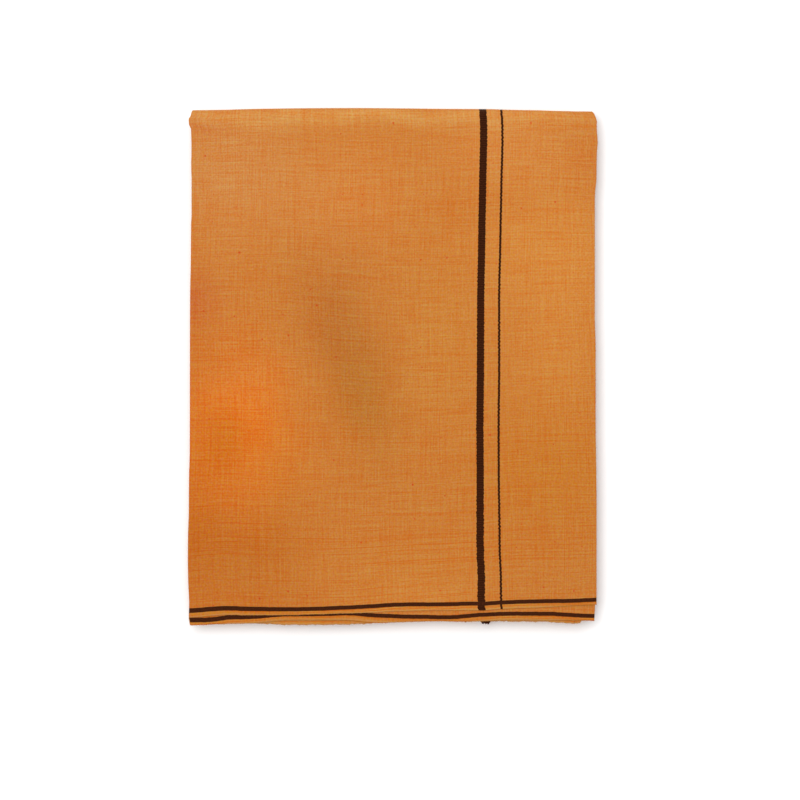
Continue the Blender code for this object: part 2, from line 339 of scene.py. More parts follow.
# Swirls in a metre, their detail and their reach: the threads bow, and patches have uneven rims
THREAD_BOW = (6.0, 1.0, (0.004, 0.011, 0.0))
PATCH_RIM = (28.0, 2.0, (0.016, 0.016, 0.0))

# Selvedge thread (partly a painted highlight), line of painted crease shade where the fold pressed, steps
# of the stripes, and how far the far end's stripes lie off
RIM_THREAD_GLINT = (0.0004, 0.0010)
CREASE_SHADE_LINE = 0.3045
CREASE_SHADE_LENGTH = 0.075
STRIPE_PICK = 0.0012
FAR_WIDE_SHIFT = 0.0022
FAR_THIN_SHIFT = -0.022

# Yarns at the edges: most that one is turned, and least and most that it is stretched
YARN_TILT = (0.5, 0.3, 0.25)
YARN_GROWTH = ((0.55, 0.55, 0.8), (1.15, 1.45, 1.2))

FLOOR_GAP = 0.0001
BODY = "root"
UV_NAME = "cloth"
EDGE_MARKS = ("selvedge", "near_end", "far_end")


class DhotiCut(bpy.types.PropertyGroup):
    """Sizes of the yarn, the weave and the stripes."""

    cloth_thickness: FloatProperty(
        name="Cloth thickness", description="Thickness of one layer of cloth",
        default=0.00028, min=0.0001, max=0.0004, precision=5, unit="LENGTH")
    thread_pitch: FloatProperty(
        name="Thread pitch", description="Distance between neighbouring threads of the weave",
        default=0.00042, min=0.0002, max=0.002, precision=5, unit="LENGTH")
    front_step: FloatProperty(
        name="Front step", description="Spacing of the points over the section in view",
        default=0.0026, min=0.001, max=0.02, precision=4, unit="LENGTH")
    under_step: FloatProperty(
        name="Under step", description="Spacing of the points over the sections below it",
        default=0.0060, min=0.002, max=0.03, precision=4, unit="LENGTH")
    border_margin: FloatProperty(
        name="Border margin", description="From the selvedge to the near side of its stripe",
        default=0.0028, min=0.0, max=0.05, precision=5, unit="LENGTH")
    border_width: FloatProperty(
        name="Border stripe", description="Width of the stripe beside each selvedge",
        default=0.0025, min=0.0, max=0.05, precision=5, unit="LENGTH")
    wide_place: FloatProperty(
        name="Wide stripe place", description="From the cut end to the middle of the wide stripe",
        default=0.0698, min=0.0, max=0.2, precision=4, unit="LENGTH")
    wide_width: FloatProperty(
        name="Wide stripe", description="Width of the wide stripe across the cloth's end",
        default=0.0046, min=0.0, max=0.05, precision=5, unit="LENGTH")
    thin_place: FloatProperty(
        name="Thin stripe place", description="From the cut end to the middle of the thin stripe",
        default=0.0584, min=0.0, max=0.2, precision=4, unit="LENGTH")
    thin_width: FloatProperty(
        name="Thin stripe", description="Width of the thin stripe across the cloth's end",
        default=0.0014, min=0.0, max=0.05, precision=5, unit="LENGTH")
    turn_reach: FloatProperty(
        name="Turn reach", description="How far the weft turns stand past the selvedge",
        default=0.00022, min=0.00005, max=0.001, precision=5, unit="LENGTH")
    stub_reach: FloatProperty(
        name="Stub reach", description="How far the warp stubs stand past the cut",
        default=0.00030, min=0.00005, max=0.002, precision=5, unit="LENGTH")
    seed: IntProperty(
        name="Seed", description="Sets the random part of edges and yarn ends", default=7)


class DhotiColours(bpy.types.PropertyGroup):
    """Colours of the yarns."""

    warp: FloatVectorProperty(
        name="Warp", description="Orange yarn that runs along the cloth",
        subtype="COLOR", size=3, min=0.0, max=1.0, default=(0.446, 0.107, 0.0113))
    weft: FloatVectorProperty(
        name="Weft", description="Ochre yarn that runs across the cloth",
        subtype="COLOR", size=3, min=0.0, max=1.0, default=(0.441, 0.1936, 0.0443))
    stripe: FloatVectorProperty(
        name="Stripe", description="Dark brown yarn of the stripes",
        subtype="COLOR", size=3, min=0.0, max=1.0, default=(0.0206, 0.0048, 0.0008))
    fleck: FloatVectorProperty(
        name="Fleck", description="Warp seen through the dark yarn",
        subtype="COLOR", size=3, min=0.0, max=1.0, default=(0.0729, 0.0182, 0.0068))
    nep: FloatVectorProperty(
        name="Nep", description="Small red knots in the yarn",
        subtype="COLOR", size=3, min=0.0, max=1.0, default=(0.434, 0.061, 0.0104))


# Folding rule

def smooth(t):
    """Ease from 0 to 1 while t goes from 0 to 1."""
    t = np.clip(t, 0.0, 1.0)
    return t * t * (3.0 - 2.0 * t)


def eased(places, values, at):
    """Value of a table at a place, on a smooth curve through its rows that never overshoots them."""
    places = np.asarray(places, float)
    values = np.asarray(values, float)
    gaps = np.diff(places)
    rises = np.diff(values) / gaps
    slopes = np.zeros_like(values)
    before, after = rises[:-1], rises[1:]
    same = before * after > 0.0
    slopes[1:-1][same] = 2.0 * before[same] * after[same] / (before[same] + after[same])
    at = np.clip(at, places[0], places[-1])
    low = np.clip(np.searchsorted(places, at, side="right") - 1, 0, len(gaps) - 1)
    t = (at - places[low]) / gaps[low]
    rise = gaps[low] * (slopes[low] * t * (1.0 - t) ** 2 - slopes[low + 1] * t ** 2 * (1.0 - t))
    return values[low] + (values[low + 1] - values[low]) * smooth(t) + rise


def steps(start, end, step):
    """Even steps from start to end, without the start."""
    count = max(1, math.ceil(abs(end - start) / step))
    return [start + (end - start) * (n + 1) / count for n in range(count)]


def fold_path(foot_rows, leg_step, turn_steps, back_step, hidden_step):
    """Middle of the stack along the cloth's width, as (y, z) points from selvedge to selvedge."""
    foot = NOMINAL_SHORT - HALF_HEIGHT
    high = THICKNESS - MIDDLE_DEPTH
    turn_radius = TOP_RADIUS - MIDDLE_DEPTH

    def half_turn(y, z, across, down, count):
        angles = [math.pi * n / count for n in range(1, count + 1)]
        return [(y + across * math.sin(turn), z + down * math.cos(turn)) for turn in angles]

    path = [(foot + d, high) for d in foot_rows]
    path += [(y, high) for y in steps(foot + foot_rows[-1], TOP_AXIS_Y, leg_step)]
    path += half_turn(TOP_AXIS_Y, TOP_RADIUS, turn_radius, turn_radius, turn_steps)
    path += [(y, MIDDLE_DEPTH) for y in steps(TOP_AXIS_Y, FOOT_AXIS_Y, back_step)]
    turn_radius = FOOT_RADIUS - MIDDLE_DEPTH
    path += half_turn(FOOT_AXIS_Y, FOOT_RADIUS, -turn_radius, -turn_radius, turn_steps // 2)
    path += [(y, TOP_RADIUS - MIDDLE_DEPTH) for y in steps(FOOT_AXIS_Y, TOP_AXIS_Y, hidden_step)]
    path += half_turn(TOP_AXIS_Y, TOP_RADIUS, MIDDLE_DEPTH, -MIDDLE_DEPTH, turn_steps // 2)
    last = foot + foot_rows[-1]
    path += [(y, TOP_RADIUS + MIDDLE_DEPTH) for y in steps(TOP_AXIS_Y, last, hidden_step)]
    path += [(foot + d, TOP_RADIUS + MIDDLE_DEPTH) for d in reversed(foot_rows[:-1])]
    return path


def layer_depth(layer):
    return OUTER_DEPTH + (layer - 1) * LAYER_PITCH


def section_outline(first, last, step):
    """Outline of the sections from first to last across the bundle, as (x, depth) points.

    It starts inside the first section, past the seam that the fold before it hides, and ends inside
    the section after the last one. Only the cloth's own cut ends reach the side.
    """
    points = []
    for layer in range(first, last + 1):
        heading = -1.0 if layer % 2 else 1.0
        depth = layer_depth(layer)
        flat = HALF_WIDTH - BEAD_RADIUS
        start = -heading * HALF_WIDTH if layer == 1 else -heading * (flat - SEAM_INSET)
        end = heading * HALF_WIDTH if layer == SECTIONS else heading * flat
        if layer == 1:
            points += [(start + heading * d, depth) for d in RIM_COLUMNS]
        elif layer == first:
            points.append((start, depth))
        else:
            points += [(-heading * (flat - d), depth) for d in RIM_COLUMNS[1:]]
        rim = [(end - heading * d, depth) for d in reversed(RIM_COLUMNS)]
        columns = steps(points[-1][0], rim[0][0], step)[:-1]
        if layer == SECTIONS:
            columns = sorted({*columns, *PEEK_COLUMNS}, key=lambda x: heading * x)
        points += [(x, depth) for x in columns] + rim
        if layer == SECTIONS:
            break
        for n in range(1, BEAD_STEPS + 1):
            turn = math.pi * n / BEAD_STEPS
            x = heading * (flat + BEAD_RADIUS * math.sin(turn))
            points.append((x, depth + BEAD_RADIUS * (1.0 - math.cos(turn))))
        if layer == last:
            tail = list(RIM_COLUMNS[1:]) + steps(RIM_COLUMNS[-1], SEAM_INSET, min(step, TAIL_STEP))
            points += [(heading * (flat - d), layer_depth(layer + 1)) for d in tail]
    return points


def placed(name, data):
    """A new object of the scene, at the origin."""
    thing = bpy.data.objects.new(name, data)
    bpy.context.scene.collection.objects.link(thing)
    return thing


def polyline(name, points):
    """A curve object of straight runs, for a node tree to sweep."""
    curve = bpy.data.curves.new(name, "CURVE")
    curve.dimensions = "3D"
    curve.twist_mode = "MINIMUM"
    spline = curve.splines.new("POLY")
    spline.points.add(len(points) - 1)
    flat = np.ones((len(points), 4))
    flat[:, :3] = points
    spline.points.foreach_set("co", flat.ravel())
    return placed(name, curve)


def plain_mesh(source, name):
    """The evaluated object as a plain mesh object, in place of the source."""
    graph = bpy.context.evaluated_depsgraph_get()
    data = bpy.data.meshes.new_from_object(source.evaluated_get(graph))
    data.name = name
    bpy.data.objects.remove(source)
    return placed(name, data)


# Node trees

class Tree:
    """Short calls for building a node tree."""

    def __init__(self, tree):
        self.tree = tree
        self.column = 0

    def node(self, kind, inputs=None, **settings):
        node = self.tree.nodes.new(kind)
        self.column += 1
        node.location = (180 * (self.column % 12), -220 * (self.column // 12))
        for key, value in settings.items():
            setattr(node, key, value)
        for key, value in (inputs or {}).items():
            self.feed(node.inputs[key], value)
        return node

    def feed(self, socket, value):
        if isinstance(value, bpy.types.NodeSocket):
            self.tree.links.new(value, socket)
        else:
            socket.default_value = value

    def made(self, kind, values, **settings):
        """First output of a node whose first inputs are the values."""
        return self.node(kind, dict(enumerate(values)), **settings).outputs[0]

    def math(self, operation, *values, clamp=False):
        return self.made("ShaderNodeMath", values, operation=operation, use_clamp=clamp)

    def plus(self, first, second, clamp=False):
        return self.math("ADD", first, second, clamp=clamp)

    def minus(self, first, second, clamp=False):
        return self.math("SUBTRACT", first, second, clamp=clamp)

    def times(self, first, second, clamp=False):
        return self.math("MULTIPLY", first, second, clamp=clamp)

    def vector(self, operation, *values):
        return self.made("ShaderNodeVectorMath", values, operation=operation)

    def capture(self, curve, name, kind, value):
        """Outputs of a node that keeps a value of each point of a curve."""
        node = self.node("GeometryNodeCaptureAttribute")
        node.capture_items.new(kind, name)
        self.feed(node.inputs["Geometry"], curve)
        self.feed(node.inputs[name], value)
        return node.outputs

    def store(self, mesh, name, value, kind, domain):
        """The mesh with a named attribute."""
        node = self.node(
            "GeometryNodeStoreNamedAttribute", {"Geometry": mesh, "Name": name}, data_type=kind,
            domain=domain)
        self.feed(node.inputs["Value"], value)
        return node.outputs[0]

    def passed(self, kind, mesh, **others):
        """The mesh after a node that changes it."""
        return self.node(kind, {"Geometry": mesh, **others}).outputs[0]


def new_group(name, inputs, output):
    """An empty node group with named inputs, and one output of geometry."""
    group = bpy.data.node_groups.new(name, "GeometryNodeTree")
    for label, kind in inputs:
        is_length = kind == "Length"
        socket = group.interface.new_socket(
            label, in_out="INPUT", socket_type="NodeSocket" + ("Float" if is_length else kind))
        if is_length:
            socket.subtype = "DISTANCE"
    group.interface.new_socket(output, in_out="OUTPUT", socket_type="NodeSocketGeometry")
    return group


def fold_tree():
    """Sweeps a section's outline along the fold path, and writes where each point is on the cloth."""
    group = new_group("Fold a section", (
        ("Path", "Geometry"), ("Outline", "Object"), ("Length Before", "Length"),
        ("Length After", "Length"), ("Cloth Width", "Length"), ("Cloth", "Material")), "Section")
    t = Tree(group)
    given = t.node("NodeGroupInput").outputs
    outline = t.node("GeometryNodeObjectInfo", {"Object": given["Outline"]}).outputs["Geometry"]
    path, profile = (
        t.capture(curve, "Share", "FLOAT", t.node("GeometryNodeSplineParameter").outputs["Factor"])
        for curve in (given["Path"], outline))
    swept = t.node(
        "GeometryNodeCurveToMesh", {"Curve": path["Geometry"], "Profile Curve": profile["Geometry"]})

    span = t.minus(given["Length After"], given["Length Before"])
    along = t.plus(given["Length Before"], t.times(span, profile["Share"]))
    aside = t.times(given["Cloth Width"], path["Share"])
    place = t.made("ShaderNodeCombineXYZ", (along, aside))
    cloth = t.store(swept.outputs[0], UV_NAME, place, "FLOAT2", "CORNER")
    tests = (
        t.made("FunctionNodeCompare", (path["Share"], 0.0), operation="LESS_EQUAL"),
        t.made("FunctionNodeCompare", (profile["Share"], 0.0), operation="LESS_EQUAL"),
        t.made("FunctionNodeCompare", (0.99999, profile["Share"]), operation="LESS_THAN"),
    )
    for name, test in zip(EDGE_MARKS, tests):
        cloth = t.store(cloth, name, test, "BOOLEAN", "POINT")
    cloth = t.passed("GeometryNodeSetShadeSmooth", cloth)
    cloth = t.passed("GeometryNodeRealizeInstances", cloth)
    cloth = t.passed("GeometryNodeSetMaterial", cloth, Material=given["Cloth"])
    t.node("NodeGroupOutput", {"Section": cloth})
    return group


def yarn_tree():
    """Sets small yarns along the marked edges of up to four sections.

    A turn is the half ring that the weft makes round the selvedge. An end is the stub of a warp yarn
    past the cut.
    """
    sections = [f"Section {number}" for number in range(1, 5)]
    group = new_group("Edge yarns", (
        ("Geometry", "Geometry"), *((section, "Object") for section in sections), ("Edge", "String"),
        ("Turns", "Bool"), ("Spacing", "Length"), ("Yarn Radius", "Length"), ("Reach", "Length"),
        ("Seed", "Int"), ("Cloth", "Material")), "Yarns")
    t = Tree(group)
    given = t.node("NodeGroupInput").outputs

    # Points along the edge, with their places on the cloth
    joined = t.node("GeometryNodeJoinGeometry")
    for section in reversed(sections):
        found = t.node("GeometryNodeObjectInfo", {"Object": given[section]})
        group.links.new(found.outputs["Geometry"], joined.inputs[0])
    marked = t.made("GeometryNodeInputNamedAttribute", (given["Edge"],), data_type="BOOLEAN")
    placed = t.made("GeometryNodeInputNamedAttribute", (UV_NAME,), data_type="FLOAT_VECTOR")
    edge = t.node("GeometryNodeMeshToCurve", {"Mesh": joined.outputs[0], "Selection": marked})
    kept = t.capture(edge.outputs[0], "Place", "VECTOR", placed)
    spaced = t.node(
        "GeometryNodeResampleCurve", {"Curve": kept["Geometry"], "Length": given["Spacing"]},
        mode="LENGTH")

    # One yarn
    thread = t.node("GeometryNodeCurvePrimitiveCircle", {"Resolution": 4, "Radius": given["Yarn Radius"]})
    ring = t.node(
        "GeometryNodeCurveArc",
        {"Resolution": 5, "Radius": given["Reach"], "Start Angle": math.pi, "Sweep Angle": math.pi})
    stub_end = t.made("ShaderNodeCombineXYZ", (given["Reach"],))
    stub_start = t.made("ShaderNodeCombineXYZ", (t.times(given["Reach"], -1.0),))
    stub = t.node("GeometryNodeCurvePrimitiveLine", {"Start": stub_start, "End": stub_end})
    shape = t.node("GeometryNodeSwitch", {"Switch": given["Turns"]}, input_type="GEOMETRY")
    t.feed(shape.inputs["False"], stub.outputs[0])
    t.feed(shape.inputs["True"], ring.outputs[0])
    yarn = t.node("GeometryNodeCurveToMesh", {
        "Curve": shape.outputs[0], "Profile Curve": thread.outputs[0], "Fill Caps": True})

    # A yarn at each point, turned and stretched at random
    def chance(low, high, seed):
        node = t.node("FunctionNodeRandomValue", {"Seed": seed}, data_type="FLOAT_VECTOR")
        t.feed(node.inputs[0], low)
        t.feed(node.inputs[1], high)
        return node.outputs[0]

    tilt = chance(tuple(-turn for turn in YARN_TILT), YARN_TILT, given["Seed"])
    growth = chance(*YARN_GROWTH, t.plus(given["Seed"], 1.0))
    many = t.node("GeometryNodeInstanceOnPoints", {
        "Points": spaced.outputs[0], "Instance": yarn.outputs[0], "Scale": growth})
    t.feed(many.inputs["Rotation"], t.made("FunctionNodeEulerToRotation", (tilt,)))
    yarns = t.passed("GeometryNodeRealizeInstances", many.outputs[0])
    yarns = t.store(yarns, UV_NAME, kept["Place"], "FLOAT2", "CORNER")
    yarns = t.passed("GeometryNodeSetShadeSmooth", yarns)
    yarns = t.passed("GeometryNodeSetMaterial", yarns, Material=given["Cloth"])
    t.node("NodeGroupOutput", {"Yarns": yarns})
    return group


def use_tree(thing, group, values):
    """Put a node tree on an object, with its inputs set by the sockets' identifiers."""
    modifier = thing.modifiers.new(group.name, "NODES")
    modifier.node_group = group
    for item in group.interface.items_tree:
        if item.item_type == "SOCKET" and item.in_out == "INPUT" and item.name in values:
            modifier[item.identifier] = values[item.name]


# Cloth material

class ClothTree(Tree):
    """Calls for the cloth's patterns, and what they all read: where each point is on the cloth."""

    def __init__(self, tree):
        super().__init__(tree)
        self.patterns = {}
        cut = bpy.context.scene.dhoti_cut
        self.place = self.node("ShaderNodeUVMap", uv_map=UV_NAME).outputs[0]
        self.along, self.aside = self.node("ShaderNodeSeparateXYZ", {0: self.place}).outputs[:2]
        self.rim_distance = self.math("MINIMUM", self.aside, self.minus(CLOTH_WIDTH, self.aside))
        self.bowed = self.swirled(*THREAD_BOW)
        self.uneven = self.swirled(*PATCH_RIM)
        self.margin = self.math("LESS_THAN", self.rim_distance, cut.border_margin)
        # Pale weft thread at the selvedge, partly a painted highlight
        self.rim_thread_glint = self.band(self.rim_distance, *RIM_THREAD_GLINT)
        self.near_selvedge = self.ramp(self.rim_distance, 0.150, 0.015, 0.12, 1.0)
        turn = math.pi / cut.thread_pitch
        warp_wave = self.math("SINE", self.times(self.aside, turn))
        weft_wave = self.math("SINE", self.times(self.along, turn))
        self.over = self.times(warp_wave, weft_wave)

    def swirled(self, scale, detail, reach):
        """Places on the cloth, shifted by a slow swirl."""
        swirl = self.node(
            "ShaderNodeTexNoise", {"Vector": self.place, "Scale": scale, "Detail": detail},
            noise_dimensions="2D")
        shift = self.vector("SUBTRACT", swirl.outputs["Color"], (0.5, 0.5, 0.5))
        return self.vector("ADD", self.place, self.vector("MULTIPLY", shift, reach))

    def noise(self, name):
        """One of the yarn's patterns, from 0 to 1."""
        if name not in self.patterns:
            scale_along, scale_aside, detail, roughness, offset = PATTERNS[name]
            mapped = self.node("ShaderNodeMapping", {
                "Vector": self.bowed, "Location": (offset, offset, 0.0),
                "Scale": (scale_along, scale_aside, 1.0)})
            self.patterns[name] = self.node(
                "ShaderNodeTexNoise",
                {"Vector": mapped.outputs[0], "Scale": 1.0, "Detail": detail, "Roughness": roughness},
                noise_dimensions="2D").outputs["Fac"]
        return self.patterns[name]

    def swing(self, name, gain):
        """One of the yarn's patterns, to both sides of 0."""
        return self.times(self.minus(self.noise(name), 0.5), gain)

    def thick(self, name):
        """1 on the few threads of a pattern that are thicker than the rest."""
        return self.ramp(self.noise(name), 0.60, 0.76)

    def ramp(self, value, low, high, start=0.0, end=1.0):
        """From start to end while the value goes from low to high."""
        return self.node("ShaderNodeMapRange", {
            "Value": value, "From Min": low, "From Max": high, "To Min": start, "To Max": end}).outputs[0]

    def mix(self, share, first, second):
        node = self.node("ShaderNodeMix", {0: share}, data_type="RGBA")
        self.feed(node.inputs[6], first)
        self.feed(node.inputs[7], second)
        return node.outputs[2]

    def band(self, value, middle, width, soft=0.00012, swell=0.0):
        """1 inside a stripe and 0 outside, with a narrow soft edge."""
        away = self.minus(self.math("ABSOLUTE", self.minus(value, middle)), swell)
        return self.ramp(away, width / 2 - soft, width / 2 + soft, 1.0, 0.0)

    def patch(self, middle_along, middle_aside, length, width, degrees):
        """1 in the middle of a soft oval patch, and 0 well away from it."""
        mapped = self.node(
            "ShaderNodeMapping",
            {"Vector": self.uneven, "Location": (middle_along, middle_aside, 0.0),
             "Rotation": (0.0, 0.0, math.radians(degrees)), "Scale": (length, width, 1.0)},
            vector_type="TEXTURE").outputs[0]
        out, up = self.node("ShaderNodeSeparateXYZ", {0: mapped}).outputs[:2]
        square = self.plus(self.math("POWER", out, 2.0), self.math("POWER", up, 2.0))
        return self.math("EXPONENT", self.times(square, -1.0))

    def ribs(self, pitch):
        """Ribs across a stripe."""
        return self.math("SINE", self.times(self.aside, 2.0 * math.pi / pitch))


def thread_tone(t):
    """Share of the weft's colour: threads cross, and single ones are thicker, paler or redder."""
    tone = t.plus(0.5, t.times(t.over, 0.22))
    for name, gain in TONE_SWINGS:
        tone = t.plus(tone, t.swing(name, gain))
    for name, gain in TONE_THREADS:
        tone = t.plus(tone, t.times(t.thick(name), gain))
    red = t.times(t.thick("red_warp"), t.near_selvedge)
    tone = t.plus(tone, t.times(red, -0.42))

    # Painted shade of a crease: a darker, redder line where the fold pressed into the front, fading along
    # the cloth
    fading = t.ramp(t.along, 0.0, CREASE_SHADE_LENGTH, 1.0, 0.0)
    pressed = t.times(t.band(t.aside, CREASE_SHADE_LINE, 0.0010, 0.0005), fading)
    tone = t.plus(tone, t.times(pressed, -0.40))

    # Cords of the margin, and the pale weft thread at the selvedge, partly a painted highlight where the
    # weft turns catch the light
    tone = t.plus(tone, t.times(t.margin, t.plus(-0.04, t.swing("margin_cords", 3.2))))
    tone = t.plus(tone, t.times(t.rim_thread_glint, 0.9))

    # Threads stand apart most in the oval of the painted glow
    apart = t.plus(1.0, t.times(t.patch(*GLOW_OVAL), GLOW_THREAD_CONTRAST))
    tone = t.plus(0.5, t.times(t.minus(tone, 0.5), apart))
    return t.math("MAXIMUM", t.math("MINIMUM", tone, 1.0), 0.0)


def with_neps(t, ground, knot):
    """The ground with small knots of yarn, each of its own size and strength."""
    cells = t.node(
        "ShaderNodeTexVoronoi", {"Vector": t.place, "Scale": 62.0}, voronoi_dimensions="2D").outputs
    draw = t.node("ShaderNodeSeparateColor", {0: cells["Color"]}).outputs
    reach = t.times(t.plus(0.020, t.times(draw[1], 0.034)), 0.6)
    inside = t.minus(1.8, t.math("DIVIDE", cells["Distance"], reach), clamp=True)
    strength = t.times(t.math("GREATER_THAN", draw[0], 0.52), t.plus(0.15, draw[2]))
    return t.mix(t.times(inside, strength, clamp=True), ground, knot)


def streaks_stains_and_painted_light(t):
    """What the yarns' red, green and blue are multiplied by: fine streaks, a less blue margin, a bluer
    selvedge thread that is partly a painted highlight, and soft patches of painted light and shade and of
    stains.
    """
    streaks = t.plus(t.swing("warp_slubs", 0.05), t.swing("weft_slubs", 0.05))
    light = t.plus(1.0, t.plus(t.swing("speckle", 0.19), streaks))
    light = t.plus(light, t.times(t.over, 0.03))
    green = t.minus(light, t.swing("blush", 0.10))
    blue = t.plus(light, t.swing("blush", 1.45))
    blue = t.minus(blue, t.times(t.margin, 0.17))
    # The selvedge thread is bluer: partly a painted highlight
    blue = t.plus(blue, t.times(t.rim_thread_glint, 0.30))
    total = t.made("ShaderNodeCombineXYZ", (light, green, blue))
    # Soft patches: painted light and shade on the front, and stains on the underside
    for *oval, change in LIGHT_SHADE_AND_STAIN_PATCHES:
        part = t.node("ShaderNodeVectorMath", {0: change, "Scale": t.patch(*oval)}, operation="SCALE")
        total = t.vector("ADD", total, part.outputs[0])
    return total


def stripes(t):
    """Shares of the border stripes and of the end stripes, whose edges the dark picks step."""
    cut = bpy.context.scene.dhoti_cut
    pick = t.minus(t.math("PINGPONG", t.aside, STRIPE_PICK), STRIPE_PICK / 2)
    step = t.times(pick, t.ramp(t.noise("stripe_steps"), 0.35, 0.65, 0.10, 0.32))
    wander = t.swing("stripe_wander", 0.0005)
    lumps = t.times(t.swing("stripe_lumps", 0.0008), t.near_selvedge)
    stepped = t.plus(t.along, t.plus(step, wander))
    ragged = t.plus(stepped, lumps)
    mirrored = t.plus(t.along, t.minus(t.plus(wander, lumps), step))
    ends = 0.0
    for place, middle, width in (
        (ragged, cut.wide_place - 0.0001, cut.wide_width - 0.0003),
        (mirrored, cut.wide_place + 0.0001, cut.wide_width - 0.0003),
        (stepped, cut.thin_place, cut.thin_width),
        (stepped, CLOTH_LENGTH - cut.wide_place + FAR_WIDE_SHIFT, cut.wide_width + 0.0004),
        (stepped, CLOTH_LENGTH - cut.thin_place + FAR_THIN_SHIFT, cut.thin_width),
    ):
        ends = t.math("MAXIMUM", ends, t.band(place, middle, width))

    # The border stripes are a little wider round the first side fold
    away = t.math("DIVIDE", t.minus(t.along, SECTION_WIDTH), 0.052)
    swell = t.times(t.math("EXPONENT", t.times(t.math("POWER", away, 2.0), -1.0)), 0.00022)
    middle = cut.border_margin + cut.border_width / 2
    return t.band(t.rim_distance, middle, cut.border_width, swell=swell), ends


def dark_yarn(t, border):
    """Ribbed dark brown yarn, with the warp seen through it where it is worn."""
    tint = bpy.context.scene.dhoti_colours
    across = t.times(t.ribs(0.0011), t.minus(1.0, border))
    ribbed = t.plus(across, t.times(t.ribs(0.0008), border))
    fleck = t.plus(t.times(ribbed, 0.28), t.swing("dark_wear", 1.2))
    fleck = t.plus(fleck, t.plus(0.21, t.times(border, 0.18)), clamp=True)
    return t.mix(fleck, (*tint.stripe, 1.0), (*tint.fleck, 1.0))


def cotton_material():
    """Two-tone plain weave with its woven stripes, read from each point's place on the cloth."""
    name = "striped_orange_cotton"
    found = bpy.data.materials.get(name)
    if found:
        return found
    tint = bpy.context.scene.dhoti_colours
    material = bpy.data.materials.new(name)
    material.use_nodes = True
    t = ClothTree(material.node_tree)
    ground = t.mix(thread_tone(t), (*tint.warp, 1.0), (*tint.weft, 1.0))
    ground = with_neps(t, ground, (*tint.nep, 1.0))
    # Streaks, stains, and soft patches of painted light and shade
    ground = t.vector("MULTIPLY", ground, streaks_stains_and_painted_light(t))
    border, ends = stripes(t)
    colour = t.mix(t.math("MAXIMUM", border, ends), ground, dark_yarn(t, border))

    # Relief of the weave
    slubs = t.plus(t.swing("warp_slubs", 1.2), t.swing("weft_slubs", 1.2))
    relief = t.plus(t.times(t.over, 0.5), slubs)
    bump = t.node("ShaderNodeBump", {"Strength": 0.35, "Distance": 0.00008, "Height": relief})
    shader = material.node_tree.nodes["Principled BSDF"]
    for socket, value in (
        ("Base Color", colour), ("Normal", bump.outputs[0]), ("Roughness", 0.9),
        ("Specular IOR Level", 0.03), ("Sheen Weight", 0.08), ("Sheen Roughness", 0.5),
        ("Sheen Tint", (1.0, 0.62, 0.30, 1.0)),
    ):
        t.feed(shader.inputs[socket], value)
    return material


# Settling

def crease_depth(creases, x, y):
    """Sum of the soft creases at each point."""
    depth = np.zeros_like(x)
    for middle_x, middle_y, length, width, degrees, deep in creases:
        turn = math.radians(degrees)
        over, up = x - middle_x, y - middle_y
        run = (over * math.cos(turn) + up * math.sin(turn)) / (length / 2.0)
        across = (up * math.cos(turn) - over * math.sin(turn)) / (width / 2.0)
        depth += deep * np.exp(-run ** 2 - across ** 2)
    return depth


def front_height(x, y):
    """Height of the front face. It is highest at the top fold, and dips in the middle."""
    away = smooth((TOP_AXIS_Y - y) / RISE_LENGTH)
    aside = np.minimum(1.0, np.abs(x) / HALF_WIDTH)
    down = (TOP_AXIS_Y - y) / (TOP_AXIS_Y - FOOT_AXIS_Y)
    dish = DISH_DEPTH * (1.0 - aside * aside)
    drop = FOOT_DROP * smooth(down)
    turn = 2.0 * math.pi / RIPPLE_LENGTH
    ripple = RIPPLE * (1.0 + np.sin(turn * (x + RIPPLE_SLANT * y)))
    return THICKNESS - away * (dish + drop + ripple + crease_depth(CREASES, x, y))


def waver(place, key, lengths=(0.021, 0.047, 0.110), weights=(0.2, 0.35, 0.45)):
    """A smooth run of numbers from -1 to 1 along an edge, with its own phases for each edge."""
    chance = np.random.default_rng(bpy.context.scene.dhoti_cut.seed * 1000 + key)
    total = 0.0
    for length, weight in zip(lengths, weights):
        phase, stretch = chance.uniform(0.0, 2.0 * math.pi), chance.uniform(0.8, 1.25)
        total = total + weight * np.sin(2.0 * math.pi * place / (length * stretch) + phase)
    return total


def selvedge_short(x, layer, lower):
    """How far a layer's selvedge stops short of the foot. The lower set is the other selvedge."""
    if not lower and layer <= len(SELVEDGES):
        row = SELVEDGES[layer - 1]
        fray = FRAY[layer - 1] * waver(x, 300 + layer, *FRAY_WAVES)
        return eased(row["x"], row["short"], x) + fray
    if not lower and layer == SECTIONS:
        return eased(PEEK["x"], PEEK["short"], x)
    key = 400 + layer + (20 if lower else 0)
    short, spread = HIDDEN_SHORT
    return short + spread * waver(x, key, *HIDDEN_WAVES)


def side_inset(side, layer, run):
    """How far a side fold, or a cut end, stops short of the side of the bundle."""
    fold = (layer + 1) // 2 - 1 if side == "left" else layer // 2
    if fold == 0:
        return 0.0
    key = 100 * (1 + (side == "right")) + fold
    inset, spread = FOLD_INSETS[side]
    if side == "right" and fold == 1:
        inset, spread = FIRST_RIGHT_FOLD
        more, length = FIRST_RIGHT_END
        inset = inset + more * smooth(1.0 - run / length)
    return inset + spread * waver(run, key)


def read(items, name, size, kind=float):
    """One property of every item of a mesh, as rows of numbers."""
    rows = np.empty(len(items) * size, kind)
    items.foreach_get(name, rows)
    return rows.reshape(-1, size)


